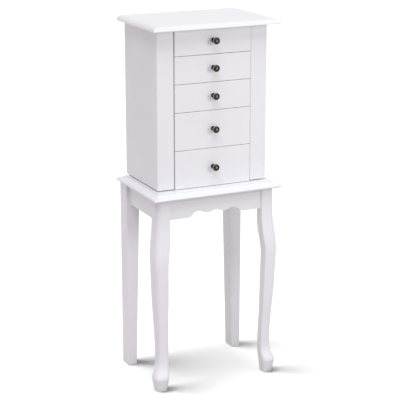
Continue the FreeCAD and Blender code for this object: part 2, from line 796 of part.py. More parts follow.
def lid_nodes():
    """The lid, its mirror and the swinging halves of its hinges."""
    return {
        "lid_board": [lid_board()],
        "lid_mirror": [mirror(0, 0)],
        "lid_hinge_leaves": on_lid(moving_leaf(lid_leaf_width, lid_stop_angle)),
    }


def door_nodes():
    """The two side doors, one the mirror image of the other."""
    panel = box((door_inner, stile_rear, door_bottom), (door_outer, cabinet_rear, door_top))
    right = {
        "panel": [panel],
        "stile": [door_stile()],
        "rails": door_rails(),
        "hooks": door_hooks(),
        "hinge_leaves": on_door(moving_leaf(door_leaf_width, 0)),
        "strike": [door_strike()],
    }
    nodes = {}
    for name, solids in right.items():
        nodes["right_door_" + name] = solids
        nodes["left_door_" + name] = [mirrored(solid) for solid in solids]
    return nodes


def drawer_nodes():
    """The five drawers from the top down, with their runners on the walls."""
    nodes = {"drawer_runners": []}
    top = lid_bottom - drawer_lid_gap
    for index, front_height in enumerate(drawer_front_heights):
        low = top - front_height
        box_low = low + box_lift
        box_high = top - drawer_top_drop
        if index == 0:
            box_high = tray_floor_bottom - drawer_tray_gap
        name = "drawer_" + str(index + 1)
        nodes[name + "_front"] = [drawer_front(low, top)]
        nodes[name + "_box"] = drawer_box(box_low, box_high)
        nodes[name + "_bottom"] = [drawer_bottom(box_low)]
        nodes[name + "_knob"] = [knob((low + top) / 2 + knob_rise)]
        nodes["drawer_runners"] += drawer_runners(box_low)
        top = low - drawer_seam
    return nodes


def main():
    """Write one STEP file for each node."""
    os.makedirs("parts", exist_ok=True)
    nodes = {}
    for group in (stand_nodes(), cabinet_nodes(), lid_nodes(), door_nodes(), drawer_nodes()):
        nodes.update(group)
    for name, solids in nodes.items():
        shape = solids[0] if len(solids) == 1 else Part.makeCompound(solids)
        shape.exportStep("parts/" + name + ".step")
    print(len(nodes), "nodes")


if __name__ == "__main__":
    main()
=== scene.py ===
import math

import bmesh
import bpy
from bpy.props import FloatProperty, FloatVectorProperty, IntProperty, PointerProperty
from mathutils import Matrix, Vector


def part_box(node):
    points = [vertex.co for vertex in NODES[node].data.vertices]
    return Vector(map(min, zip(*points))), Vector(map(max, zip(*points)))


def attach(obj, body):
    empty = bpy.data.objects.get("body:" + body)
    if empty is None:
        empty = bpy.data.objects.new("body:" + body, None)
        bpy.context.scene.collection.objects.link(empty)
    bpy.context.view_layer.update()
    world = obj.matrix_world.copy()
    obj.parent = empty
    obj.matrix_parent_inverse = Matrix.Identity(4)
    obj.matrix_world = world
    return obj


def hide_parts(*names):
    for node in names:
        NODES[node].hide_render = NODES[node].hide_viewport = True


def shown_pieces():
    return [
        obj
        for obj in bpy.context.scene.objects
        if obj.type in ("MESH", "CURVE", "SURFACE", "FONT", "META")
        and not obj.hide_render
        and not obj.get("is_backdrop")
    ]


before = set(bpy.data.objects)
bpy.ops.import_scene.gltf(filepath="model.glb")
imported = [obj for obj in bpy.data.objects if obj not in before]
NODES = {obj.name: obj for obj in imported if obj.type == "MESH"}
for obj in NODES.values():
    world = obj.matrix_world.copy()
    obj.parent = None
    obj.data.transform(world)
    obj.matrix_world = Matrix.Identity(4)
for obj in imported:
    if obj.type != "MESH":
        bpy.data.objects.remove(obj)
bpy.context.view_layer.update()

bl_info = {
    "name": "Jewelry Chest Dressing",
    "version": (1, 0, 0),
    "blender": (4, 5, 0),
    "location": "View3D > Sidebar > Jewelry Chest",
    "description": "Lacquer, linings, fittings and studio for a jewelry chest on cabriole legs",
    "category": "Object",
}

DRAWERS = (1, 2, 3, 4, 5)
SIDES = {"left": -1, "right": 1}

# Lacquered boards by the way their grain runs.
GRAIN_X_NODES = ["base_top", "front_apron", "rear_apron", "lid_board", "cabinet_floor", "tray_front_rail"]
GRAIN_X_NODES += ["drawer_%d_front" % number for number in DRAWERS]
GRAIN_Y_NODES = ["left_apron", "right_apron", "left_door_rails", "right_door_rails"]
LEG_NODES = ["front_left_leg", "front_right_leg", "rear_left_leg", "rear_right_leg"]
GRAIN_Z_NODES = LEG_NODES + ["left_wall", "right_wall", "back_panel", "left_door_stile", "right_door_stile"]

# Plated fittings.
STEEL_NODES = ["corner_brackets", "leg_bolts", "door_hinge_fixed_leaves", "lid_hinge_fixed_leaves"]
STEEL_NODES += ["lid_hinge_leaves", "left_door_hinge_leaves", "right_door_hinge_leaves"]
STEEL_NODES += ["left_door_strike", "right_door_strike", "left_door_hooks", "right_door_hooks"]

# Scale of grain, brush marks and nap along one axis: the smaller it is, the longer the streaks.
LACQUER_STRETCH = 0.012
POPLAR_STRETCH = 0.03
BRUSH_STRETCH = 0.04
NAP_STRETCH = 2.5
LACQUER_GRAIN = {
    "x": (LACQUER_STRETCH, 1, 1),
    "y": (1, LACQUER_STRETCH, 1),
    "z": (1, 1, LACQUER_STRETCH),
}

# Tufts of cloth to the metre, and how far its fibres are darker and lighter than its tint.
FELT_PILE = 1400
VELVET_PILE = 2200
FIBRE_SHADE = 0.62
FIBRE_LIFT = 1.25

# What a door's felt lining adds to the lacquer: roughness, relief, and the margin that takes in its face.
FELT_ROUGHER = 0.55
FELT_DEEPER = 6.0
LINING_MARGIN = 0.0003

# Strength and depth of the lacquer's relief, the dull patches of nickel and the tinge of mirror glass.
LACQUER_RELIEF = {"strength": 0.10, "distance": 0.00025}
NICKEL_DULL = 0.72
MIRROR_TINGE = (0.97, 1.0, 0.98)

# A screw's head: its height by its radius, the crown's steps as width by radius and rise by height,
# and the bars of its cross as length and width by radius, then height and middle by the head's height.
HEAD_SIDES = 28
HEAD_HEIGHT_SHARE = 0.28
CROWN_SHARES = ((0.16, 0.30), (0.22, 0.16), (0.20, 0.06))
BAR_LENGTH_SHARE = 1.15
BAR_WIDTH_SHARE = 0.22
BAR_HEIGHT_SHARE = 1.4
BAR_MIDDLE_SHARE = 1.2

# How far screws stand in from an edge, by their radius.
STRIKE_INSET_SHARE = 1.4
HOOK_INSET_SHARE = 1.9

# Turns of the screws about their own axes, in radians: a first turn, a step to the next, a rate by the metre.
HINGE_TURN = 0.5
HINGE_TURN_STEP = 0.9
DOOR_LEAF_TURN = 0.4
FIXED_LEAF_TURN_RATE = 20
LID_LEAF_TURN_RATE = 31
STRIKE_TURN = 0.3
HOOK_TURN_STEP = 0.4
KNOB_TURN_STEP = 0.7
BRACKET_TURN_RATES = (90, 60)

# How near a hook's vertex lies to the door, and how far below the hook's top, to belong to its foot.
FOOT_REACH = 0.0002
FOOT_DROP = 0.0005

# A ring roll: its foot by its length and width, its crown by its width, and the faces of its skin.
ROLL_FOOT_SHARES = (0.985, 0.74)
ROLL_CROWN_SHARE = 0.42
ROLL_CROWN_STEPS = 5
ROLL_FACE = 0.0017

# The swelling of its cover: how high it is sewn down, the pressure within and the frames it takes.
SEWN_HEIGHT = 0.002
SWELL_PRESSURE = 4.0
SWELL_FRAMES = 12

# The least upward part of the normal of a level face, and the angles at which edges are kept sharp.
LEVEL = 0.9
SCREW_SHARP = math.radians(35)
ROLL_SHARP = math.radians(30)

# Suns as azimuth, height and spread in degrees. Azimuth 0 is straight in front, positive to the right.
KEY_SUN = (-30, 62, 45)
REAR_SUN = (140, 0, 20)
SLANT_SUN = (-116, 68, 25)
OVERHEAD_SUN = (0, 88, 17)
SUN_PLACE = (0, 0, 3)

# The floor's size and roughness, and the camera's sensor in millimetres and farthest view in metres.
FLOOR_SIZE = 24
FLOOR_ROUGHNESS = 0.9
SENSOR_WIDTH = 36.0
FARTHEST = 100.0

COLOUR = {"subtype": "COLOR", "size": 3, "min": 0, "max": 1}
PLACE = {"subtype": "TRANSLATION", "size": 3}


class ChestFinishes(bpy.types.PropertyGroup):
    """Colours of the chest's finishes."""

    lacquer: FloatVectorProperty(
        name="Lacquer", description="White lacquer on the boards", default=(0.80, 0.80, 0.83), **COLOUR)
    lacquer_shade: FloatVectorProperty(
        name="Lacquer shade", description="Where the lacquer lies thinner over the grain",
        default=(0.75, 0.745, 0.775), **COLOUR)
    # The bronze colour is the knobs' rubbed wear and also a painted highlight on the head's edge and domed
    # middle.
    bronze: FloatVectorProperty(
        name="Bronze", description="Rubbed places of the knobs", default=(0.42, 0.37, 0.31), **COLOUR)
    patina: FloatVectorProperty(
        name="Patina", description="Dark places of the knobs", default=(0.013, 0.0115, 0.010), **COLOUR)
    nickel: FloatVectorProperty(
        name="Nickel", description="Plating of hinges, hooks, brackets and screws",
        default=(0.60, 0.59, 0.57), **COLOUR)
    poplar: FloatVectorProperty(
        name="Poplar", description="Early wood of the drawer boxes", default=(0.62, 0.46, 0.29), **COLOUR)
    poplar_dark: FloatVectorProperty(
        name="Poplar streak", description="Late wood of the drawer boxes",
        default=(0.46, 0.31, 0.17), **COLOUR)
    felt: FloatVectorProperty(
        name="Felt", description="Felt on drawer bottoms and door linings",
        default=(0.30, 0.285, 0.29), **COLOUR)
    velvet: FloatVectorProperty(
        name="Velvet", description="Velvet of the ring rolls and the tray",
        default=(0.27, 0.25, 0.26), **COLOUR)
    sheen: FloatVectorProperty(
        name="Sheen", description="Sheen of the velvet", default=(0.9, 0.87, 0.88), **COLOUR)
    fibreboard: FloatVectorProperty(
        name="Fibreboard", description="Underside of the drawer bottoms",
        default=(0.36, 0.25, 0.155), **COLOUR)
    fibreboard_dark: FloatVectorProperty(
        name="Fibreboard fleck", description="Dark fibres of the drawer bottoms",
        default=(0.25, 0.165, 0.10), **COLOUR)
    plastic: FloatVectorProperty(
        name="Plastic", description="Housings of the catches", default=(0.66, 0.66, 0.65), **COLOUR)
    plastic_shade: FloatVectorProperty(
        name="Plastic shade", description="Dull places of the catches", default=(0.58, 0.58, 0.57), **COLOUR)
    silvering: FloatVectorProperty(
        name="Silvering", description="The mirror's silvering", default=(0.88, 0.90, 0.90), **COLOUR)


class ChestSizes(bpy.types.PropertyGroup):
    """Sizes of the pieces that are modelled here."""

    hinge_length: FloatProperty(
        name="Hinge length", description="Length of each hinge", unit="LENGTH", default=0.040)
    hinge_knuckle: FloatProperty(
        name="Knuckle radius", description="Radius of a hinge's barrel", unit="LENGTH", default=0.0025)
    leaf_thickness: FloatProperty(
        name="Leaf thickness", description="Thickness of a hinge leaf", unit="LENGTH", default=0.0012)
    fixed_screw_offset: FloatProperty(
        name="Fixed screw offset", description="From a hinge's axis to the fixed leaf's screws",
        unit="LENGTH", default=0.0086)
    door_screw_offset: FloatProperty(
        name="Door screw offset", description="From a hinge's axis to the door leaf's screws",
        unit="LENGTH", default=0.0068)
    lid_screw_offset: FloatProperty(
        name="Lid screw offset", description="From a hinge's axis to the lid leaf's screws",
        unit="LENGTH", default=0.0062)
    screw_end_inset: FloatProperty(
        name="Screw end inset", description="From a leaf's end to its screws", unit="LENGTH", default=0.009)
    hinge_screw: FloatProperty(
        name="Hinge screw radius", description="Radius of a hinge screw's head",
        unit="LENGTH", default=0.0022)
    bracket_screw: FloatProperty(
        name="Bracket screw radius", description="Radius of a bracket screw's head",
        unit="LENGTH", default=0.0035)
    knob_screw: FloatProperty(
        name="Knob screw radius", description="Radius of the screw head behind a knob",
        unit="LENGTH", default=0.0042)
    strike_screw: FloatProperty(
        name="Strike screw radius", description="Radius of a strike plate's screw heads",
        unit="LENGTH", default=0.0017)
    hook_screw: FloatProperty(
        name="Hook screw radius", description="Radius of the screw head on a hook's foot",
        unit="LENGTH", default=0.0020)
    bracket_plate: FloatProperty(
        name="Bracket plate", description="Thickness of the corner brackets", unit="LENGTH", default=0.002)
    bracket_reach: FloatProperty(
        name="Bracket reach", description="From the aprons' inner corner to a bracket's screws",
        unit="LENGTH", default=0.041)
    bracket_screw_rise: FloatProperty(
        name="Bracket screw rise", description="Of a bracket's screws above and below its middle",
        unit="LENGTH", default=0.009)
    roll_count: IntProperty(
        name="Ring rolls", description="Number of velvet rolls in the tray", default=8, min=2)
    roll_width: FloatProperty(
        name="Roll width", description="Width of one velvet roll", unit="LENGTH", default=0.018)
    roll_swell: FloatProperty(
        name="Roll swell", description="Most that the velvet swells", unit="LENGTH", default=0.0006)


class ChestStudio(bpy.types.PropertyGroup):
    """Camera, light and floor of the studio."""

    camera_place: FloatVectorProperty(
        name="Camera place", description="Where the camera stands",
        default=(-1.3791, -2.9097, 1.3526), **PLACE)
    camera_aim: FloatVectorProperty(
        name="Camera aim", description="What the camera looks at",
        default=(0.01015, 0.01207, 0.43566), **PLACE)
    lens: FloatProperty(name="Lens", description="Focal length", unit="CAMERA", default=122.65)
    ambient: FloatProperty(name="Ambient", description="Light from all round", default=0.52)
    ambient_tint: FloatVectorProperty(
        name="Ambient tint", description="Colour of the light from all round",
        default=(1.0, 0.93, 0.98), **COLOUR)
    lamp_tint: FloatVectorProperty(
        name="Lamp tint", description="Colour of the lights on the chest",
        default=(0.95, 1.0, 0.985), **COLOUR)
    key: FloatProperty(
        name="Key", description="Strength of the broad main light, high on the left", default=1.74)
    rear: FloatProperty(
        name="Rear", description="Strength of the low light behind on the right", default=1.0)
    panel: FloatProperty(name="Panel", description="Watts of the soft panel in front", default=6.0)
    panel_size: FloatProperty(
        name="Panel size", description="Width of the soft panel", unit="LENGTH", default=0.45)
    panel_place: FloatVectorProperty(
        name="Panel place", description="Where the soft panel hangs",
        default=(0.51, -1.41, 1.15), **PLACE)
    slant: FloatProperty(
        name="Slant", description="Strength on the floor of the light from the side", default=5.0)
    overhead: FloatProperty(
        name="Overhead", description="Strength on the floor of the light from above", default=2.1)
    floor: FloatVectorProperty(
        name="Floor", description="The floor as the camera sees it",
        default=(0.452, 0.461, 0.454), **COLOUR)
    floor_bounce: FloatVectorProperty(
        name="Floor bounce", description="The floor as it throws light back on the chest",
        default=(0.239, 0.225, 0.228), **COLOUR)


class ChestSettings(bpy.types.PropertyGroup):
    """All that a user would change."""

    finishes: PointerProperty(type=ChestFinishes)
    sizes: PointerProperty(type=ChestSizes)
    studio: PointerProperty(type=ChestStudio)


def settings():
    """The chest's settings in this scene."""
    return bpy.context.scene.jewelry_chest


def rgba(colour):
    """A colour as a shader socket takes it."""
    return (colour[0], colour[1], colour[2], 1.0)


def deselect():
    """Leave edit mode and select nothing."""
    if bpy.context.object is not None and bpy.context.object.mode != "OBJECT":
        bpy.ops.object.mode_set(mode="OBJECT")
    bpy.ops.object.select_all(action="DESELECT")


def activate(piece):
    """Select one piece and make it the active one."""
    deselect()
    piece.select_set(True)
    bpy.context.view_layer.objects.active = piece


def pick_faces(piece, test):
    """In edit mode, select the faces whose normal passes the test."""
    bpy.ops.mesh.select_mode(type="FACE")
    bpy.ops.mesh.select_all(action="DESELECT")
    mesh = bmesh.from_edit_mesh(piece.data)
    for face in mesh.faces:
        face.select_set(test(face.normal))
    bmesh.update_edit_mesh(piece.data)


def apply_modifier(piece, name):
    """Apply one modifier of a piece."""
    activate(piece)
    bpy.ops.object.modifier_apply(modifier=name)


class Finish:
    """A new node material with its shader at hand, and short ways to add nodes to it."""

    def __init__(self, name):
        self.material = bpy.data.materials.new(name)
        self.material.use_nodes = True
        self.nodes = self.material.node_tree.nodes
        self.links = self.material.node_tree.links
        self.shader = self.nodes["Principled BSDF"]
        self.coordinates = self.nodes.new("ShaderNodeTexCoord")

    def link(self, source, target):
        """Join a node's output to a socket."""
        self.links.new(source, target)

    def place(self, scale=(1, 1, 1), shift=(0, 0, 0)):
        """Object coordinates, shifted and then stretched."""
        moved = self.nodes.new("ShaderNodeVectorMath")
        moved.operation = "ADD"
        moved.inputs[1].default_value = shift
        self.link(self.coordinates.outputs["Object"], moved.inputs[0])
        mapping = self.nodes.new("ShaderNodeMapping")
        mapping.inputs["Scale"].default_value = scale
        self.link(moved.outputs[0], mapping.inputs["Vector"])
        return mapping.outputs["Vector"]

    def noise(self, place, scale, detail=2.0, roughness=0.5, distortion=0.0):
        """Smooth noise with a number of features to the metre."""
        texture = self.nodes.new("ShaderNodeTexNoise")
        texture.inputs["Scale"].default_value = scale
        texture.inputs["Detail"].default_value = detail
        texture.inputs["Roughness"].default_value = roughness
        texture.inputs["Distortion"].default_value = distortion
        self.link(place, texture.inputs["Vector"])
        return texture.outputs["Fac"]

    def remap(self, value, low, high, to_low, to_high):
        """A value's range turned into another range."""
        node = self.nodes.new("ShaderNodeMapRange")
        for index, number in enumerate((low, high, to_low, to_high)):
            node.inputs[index + 1].default_value = number
        self.link(value, node.inputs[0])
        return node.outputs[0]

    def combine(self, operation, first, second):
        """Two values, or a value and a number, put together."""
        node = self.nodes.new("ShaderNodeMath")
        node.operation = operation
        for socket, value in zip(node.inputs, (first, second)):
            if isinstance(value, (int, float)):
                socket.default_value = value
            else:
                self.link(value, socket)
        return node.outputs[0]

    def add(self, first, second):
        """The sum of two values."""
        return self.combine("ADD", first, second)

    def times(self, first, second):
        """The product of two values."""
        return self.combine("MULTIPLY", first, second)

    def size(self, value):
        """A value without its sign."""
        return self.combine("ABSOLUTE", value, 0.0)

    def axes(self, vector):
        """The x, y and z of a vector."""
        node = self.nodes.new("ShaderNodeSeparateXYZ")
        self.link(vector, node.inputs[0])
        return node.outputs

    def mix(self, share, first, second):
        """One colour passing into another; each is a colour or another node's output."""
        node = self.nodes.new("ShaderNodeMix")
        node.data_type = "RGBA"
        self.link(share, node.inputs["Factor"])
        for socket, value in ((node.inputs[6], first), (node.inputs[7], second)):
            if hasattr(value, "is_linked"):
                self.link(value, socket)
            else:
                socket.default_value = rgba(value)
        return node.outputs[2]

    def bump(self, height, strength, distance):
        """Relief from a height, as deep as the distance."""
        node = self.nodes.new("ShaderNodeBump")
        node.inputs["Strength"].default_value = strength
        node.inputs["Distance"].default_value = distance
        self.link(height, node.inputs["Height"])
        self.link(node.outputs["Normal"], self.shader.inputs["Normal"])

    def set(self, **values):
        """Plain values on the shader's own sockets."""
        for name, value in values.items():
            self.shader.inputs[name.replace("_", " ")].default_value = value

    def colour(self, output):
        """Lead a colour to the shader."""
        self.link(output, self.shader.inputs["Base Color"])

    def roughness(self, output):
        """Lead a roughness to the shader."""
        self.link(output, self.shader.inputs["Roughness"])


def lacquer_layers(finish, grain):
    """Colour, roughness and relief of sprayed lacquer over wood whose grain runs along one axis."""
    colours = settings().finishes
    streaks = finish.noise(finish.place(LACQUER_GRAIN[grain]), scale=850, detail=3.0, roughness=0.6)
    cloud = finish.noise(finish.place(), scale=7)
    peel = finish.noise(finish.place(), scale=620, detail=1.5)
    gloss = finish.noise(finish.place(), scale=45, detail=3.0)
    tone = finish.add(finish.remap(streaks, 0.35, 0.75, 0.0, 0.3), finish.remap(cloud, 0.3, 0.7, 0.0, 0.45))
    colour = finish.mix(tone, colours.lacquer, colours.lacquer_shade)
    roughness = finish.remap(gloss, 0.3, 0.7, 0.33, 0.43)
    relief = finish.add(finish.times(peel, 0.7), finish.times(streaks, 0.5))
    return colour, roughness, relief


def lacquer_finish(name, grain):
    """Satin white lacquer."""
    finish = Finish(name)
    colour, roughness, relief = lacquer_layers(finish, grain)
    finish.colour(colour)
    finish.roughness(roughness)
    finish.bump(relief, **LACQUER_RELIEF)
    finish.set(Coat_Weight=0.22, Coat_Roughness=0.16)
    return finish.material


def fibre_layers(finish, tint, pile):
    """Colour and relief of a short-fibred cloth with a number of tufts to the metre."""
    fibres = finish.noise(finish.place(), scale=pile, detail=4.0, roughness=0.7, distortion=0.6)
    patches = finish.noise(finish.place(), scale=60)
    dark = [channel * FIBRE_SHADE for channel in tint]
    light = [min(1.0, channel * FIBRE_LIFT) for channel in tint]
    colour = finish.mix(finish.remap(fibres, 0.3, 0.7, 0.0, 1.0), dark, light)
    lightened = finish.mix(finish.remap(patches, 0.4, 0.7, 0.0, 0.25), colour, light)
    return lightened, fibres


def lined_lacquer_finish(name, side):
    """A door panel: lacquer outside, felt glued inside between its rails."""
    finish = Finish(name)
    low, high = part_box(side + "_door_panel")
    rail_low, rail_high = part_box(side + "_door_rails")
    colour, roughness, relief = lacquer_layers(finish, "z")
    felt, fibres = fibre_layers(finish, settings().finishes.felt, FELT_PILE)
    x, y, z = finish.axes(finish.place())[:3]
    inner = min(abs(low.x), abs(high.x))
    near = finish.combine("LESS_THAN", finish.size(x), inner + LINING_MARGIN)
    above = finish.combine("GREATER_THAN", z, rail_low.z)
    ahead = finish.combine("LESS_THAN", y, rail_high.y)
    mask = finish.times(near, finish.times(above, ahead))
    finish.colour(finish.mix(mask, colour, felt))
    finish.roughness(finish.add(roughness, finish.times(mask, FELT_ROUGHER)))
    depth = finish.add(finish.times(mask, finish.times(fibres, FELT_DEEPER)), relief)
    finish.bump(depth, **LACQUER_RELIEF)
    return finish.material


def felt_board_finish():
    """A thin board: felt on its upper face, plain brown fibreboard below."""
    finish = Finish("felt_faced_board")
    colours = settings().finishes
    felt, fibres = fibre_layers(finish, colours.felt, FELT_PILE)
    flecks = finish.noise(finish.place(), scale=900, detail=4.0)
    board = finish.mix(flecks, colours.fibreboard_dark, colours.fibreboard)
    normal = finish.axes(finish.coordinates.outputs["Normal"])
    up = finish.combine("GREATER_THAN", normal[2], 0.5)
    finish.colour(finish.mix(up, board, felt))
    finish.roughness(finish.remap(up, 0.0, 1.0, 0.7, 0.95))
    finish.bump(fibres, strength=0.35, distance=0.0004)
    return finish.material


def velvet_finish():
    """Short-pile velvet with a soft sheen."""
    finish = Finish("grey_velvet")
    colours = settings().finishes
    colour, fibres = fibre_layers(finish, colours.velvet, VELVET_PILE)
    nap = finish.noise(finish.place((1, NAP_STRETCH, 1)), scale=90, detail=3.0)
    finish.colour(finish.mix(finish.remap(nap, 0.35, 0.7, 0.0, 0.35), colour, colours.felt))
    finish.bump(fibres, strength=0.3, distance=0.0003)
    finish.set(Roughness=0.9, Sheen_Weight=0.7, Sheen_Roughness=0.35, Sheen_Tint=rgba(colours.sheen))
    return finish.material


def poplar_finish(name, half_inner):
    """Clear sealed pale wood; the grain runs front to back in the sides and across in the back."""
    finish = Finish(name)
    colours = settings().finishes
    across = finish.axes(finish.place())[0]
    is_back = finish.combine("LESS_THAN", finish.size(across), half_inner)
    figures = []
    for stretch in ((1, POPLAR_STRETCH, 1), (POPLAR_STRETCH, 1, 1)):
        place = finish.place(stretch)
        bands = finish.noise(place, scale=70, detail=4.0, roughness=0.55, distortion=0.8)
        pores = finish.noise(place, scale=1300)
        figures.append(finish.add(finish.times(bands, 0.8), finish.times(pores, 0.25)))
    in_sides = finish.times(figures[0], finish.combine("SUBTRACT", 1.0, is_back))
    figure = finish.add(in_sides, finish.times(figures[1], is_back))
    streak = finish.remap(figure, 0.38, 0.72, 0.0, 1.0)
    finish.colour(finish.mix(streak, colours.poplar, colours.poplar_dark))
    finish.roughness(finish.remap(figure, 0.4, 0.7, 0.42, 0.56))
    finish.bump(figure, strength=0.15, distance=0.0003)
    return finish.material


def bronze_finish(name, low, high):
    """Dark antique bronze: patina on neck and face; the head's edge and its domed middle are brightened,
    partly as rubbing wear and partly as painted highlight.
    """
    finish = Finish(name)
    colours = settings().finishes
    place = finish.place(shift=(0, 0, -(low.z + high.z) / 2))
    across = finish.nodes.new("ShaderNodeVectorMath")
    across.operation = "MULTIPLY"
    across.inputs[1].default_value = (1, 0, 1)
    finish.link(place, across.inputs[0])
    length = finish.nodes.new("ShaderNodeVectorMath")
    length.operation = "LENGTH"
    finish.link(across.outputs[0], length.inputs[0])
    radius = finish.remap(length.outputs["Value"], 0.0, (high.z - low.z) / 2, 0.0, 1.0)
    out = finish.remap(finish.axes(place)[1], high.y, low.y, 0.0, 1.0)
    # The head's edge and domed middle get the bronze colour, partly rubbing wear and partly painted highlight
    # where lamps would glint; the rest stays dark patina.
    past_neck = finish.remap(out, 0.60, 0.70, 0.04, 1.0)
    rim_wear_and_highlight = finish.times(past_neck, finish.remap(out, 0.80, 0.89, 1.0, 0.06))
    near_middle = finish.remap(radius, 0.46, 0.26, 0.0, 0.45)
    dome_wear_and_highlight = finish.times(near_middle, finish.remap(out, 0.90, 0.97, 0.0, 1.0))
    blotch = finish.noise(finish.place(), scale=420, detail=4.0, roughness=0.65)
    rubbed_and_highlit = finish.combine("MAXIMUM", rim_wear_and_highlight, dome_wear_and_highlight)
    lightened = finish.times(rubbed_and_highlit, finish.remap(blotch, 0.3, 0.65, 0.5, 1.0))
    finish.colour(finish.mix(lightened, colours.patina, colours.bronze))
    finish.roughness(finish.remap(blotch, 0.3, 0.7, 0.18, 0.34))
    pits = finish.noise(finish.place(), scale=1500, detail=3.0)
    finish.bump(pits, strength=0.12, distance=0.0002)
    finish.set(Metallic=0.65, Specular_IOR_Level=0.3)
    return finish.material


def nickel_finish():
    """Plated steel with fine brush marks and dull patches."""
    finish = Finish("nickel_plate")
    tint = settings().finishes.nickel
    brush = finish.noise(finish.place((1, 1, BRUSH_STRETCH)), scale=2600)
    patches = finish.noise(finish.place(), scale=160, detail=3.0)
    dull = [channel * NICKEL_DULL for channel in tint]
    finish.colour(finish.mix(finish.remap(patches, 0.35, 0.75, 0.0, 1.0), tint, dull))
    finish.roughness(finish.remap(finish.add(brush, patches), 0.7, 1.3, 0.22, 0.42))
    finish.bump(brush, strength=0.08, distance=0.0001)
    finish.set(Metallic=1.0)
    return finish.material


def mirror_finish():
    """Silvered glass, with a greenish tinge and a trace of haze."""
    finish = Finish("silvered_glass")
    haze = finish.noise(finish.place(), scale=30, detail=3.0)
    silver = settings().finishes.silvering
    tinged = [channel * tinge for channel, tinge in zip(silver, MIRROR_TINGE)]
    finish.colour(finish.mix(haze, silver, tinged))
    finish.roughness(finish.remap(haze, 0.3, 0.8, 0.015, 0.05))
    finish.set(Metallic=1.0, Coat_Weight=0.5, Coat_Roughness=0.02)
    return finish.material


def catch_finish():
    """Pale moulded plastic of the magnetic catches."""
    finish = Finish("catch_plastic")
    colours = settings().finishes
    grain = finish.noise(finish.place(), scale=1800)
    cloud = finish.noise(finish.place(), scale=80)
    finish.colour(finish.mix(cloud, colours.plastic, colours.plastic_shade))
    finish.roughness(finish.remap(grain, 0.3, 0.7, 0.45, 0.6))
    finish.bump(grain, strength=0.15, distance=0.0002)
    return finish.material


def dress(names, material):
    """Give a finish to carried-over nodes."""
    for name in names:
        slots = NODES[name].material_slots
        if len(slots) == 0:
            NODES[name].data.materials.append(material)
        for slot in slots:
            slot.material = material


def facing(normal, turn):
    """A turn of the screw about its own axis and then towards a direction."""
    return Vector(normal).to_track_quat("Z", "Y").to_matrix().to_4x4() @ Matrix.Rotation(turn, 4, "Z")


def screw_head(radius):
    """A cross-head screw's head at the origin, facing up: a low crowned disc with a sunk cross."""
    height = radius * HEAD_HEIGHT_SHARE
    deselect()
    bpy.ops.mesh.primitive_cylinder_add(
        vertices=HEAD_SIDES, radius=radius, depth=height, location=(0, 0, height / 2))
    head = bpy.context.object
    bpy.ops.object.mode_set(mode="EDIT")
    pick_faces(head, lambda normal: normal.z > LEVEL)
    for width, rise in CROWN_SHARES:
        bpy.ops.mesh.inset(thickness=radius * width, depth=height * rise)
    bpy.ops.object.mode_set(mode="OBJECT")
    for turn in (0, math.pi / 2):
        sink_bar(head, radius, height, turn)
    activate(head)
    bpy.ops.object.shade_smooth_by_angle(angle=SCREW_SHARP)
    return head


def sink_bar(head, radius, height, turn):
    """Sink one bar of the cross into a screw's head."""
    deselect()
    bpy.ops.mesh.primitive_cube_add(
        size=1, location=(0, 0, height * BAR_MIDDLE_SHARE), rotation=(0, 0, turn))
    bar = bpy.context.object
    spans = (radius * BAR_LENGTH_SHARE, radius * BAR_WIDTH_SHARE, height * BAR_HEIGHT_SHARE)
    bpy.ops.transform.resize(value=spans, orient_type="LOCAL")
    slot = head.modifiers.new("cross", "BOOLEAN")
    slot.operation = "DIFFERENCE"
    slot.solver = "EXACT"
    slot.object = bar
    apply_modifier(head, "cross")
    bpy.data.objects.remove(bar)


def set_out(pattern, name, places, body, material):
    """Copies of a modelled pattern at their places, joined into one piece that rides on a body."""
    copies = []
    for place in places:
        mesh = pattern.data.copy()
        mesh.transform(place)
        copy = bpy.data.objects.new(name, mesh)
        bpy.context.scene.collection.objects.link(copy)
        copies.append(copy)
    deselect()
    for copy in copies:
        copy.select_set(True)
    piece = copies[0]
    bpy.context.view_layer.objects.active = piece
    if len(copies) > 1:
        bpy.ops.object.join()
    piece.name = name
    piece.data.name = name
    piece.data.materials.clear()
    piece.data.materials.append(material)
    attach(piece, body)
    return piece


def screw_set(name, radius, spots, body):
    """Screw heads of one size: each spot is a place, a direction and a turn."""
    pattern = screw_head(radius)
    places = [Matrix.Translation(place) @ facing(normal, turn) for place, normal, turn in spots]
    set_out(pattern, name, places, body, bpy.data.materials["nickel_plate"])
    bpy.data.objects.remove(pattern)


class CHEST_OT_lacquer(bpy.types.Operator):
    """Lacquer the boards, the legs and the doors"""

    bl_idname = "jewelry_chest.lacquer"
    bl_label = "Lacquer Boards"

    def execute(self, context):
        for grain, names in (("x", GRAIN_X_NODES), ("y", GRAIN_Y_NODES), ("z", GRAIN_Z_NODES)):
            dress(names, lacquer_finish("white_lacquer_" + grain, grain))
        for side in SIDES:
            dress([side + "_door_panel"], lined_lacquer_finish(side + "_door_lacquer_and_felt", side))
        return {"FINISHED"}


class CHEST_OT_drawer_wood(bpy.types.Operator):
    """Seal the drawer boxes and runners and face the drawer bottoms with felt"""

    bl_idname = "jewelry_chest.drawer_wood"
    bl_label = "Finish Drawer Boxes"

    def execute(self, context):
        low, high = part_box("drawer_1_bottom")
        poplar = poplar_finish("sealed_poplar", high.x)
        dress(["drawer_%d_box" % number for number in DRAWERS] + ["drawer_runners"], poplar)
        dress(["drawer_%d_bottom" % number for number in DRAWERS], felt_board_finish())
        return {"FINISHED"}


class CHEST_OT_fittings(bpy.types.Operator):
    """Finish the knobs, hinges, hooks, brackets, catches and the mirror"""

    bl_idname = "jewelry_chest.fittings"
    bl_label = "Finish Fittings"

    def execute(self, context):
        for number in DRAWERS:
            name = "drawer_%d_knob" % number
            low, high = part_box(name)
            dress([name], bronze_finish("antique_bronze_%d" % number, low, high))
        dress(STEEL_NODES, nickel_finish())
        dress(["lid_mirror"], mirror_finish())
        dress(["door_catches"], catch_finish())
        return {"FINISHED"}


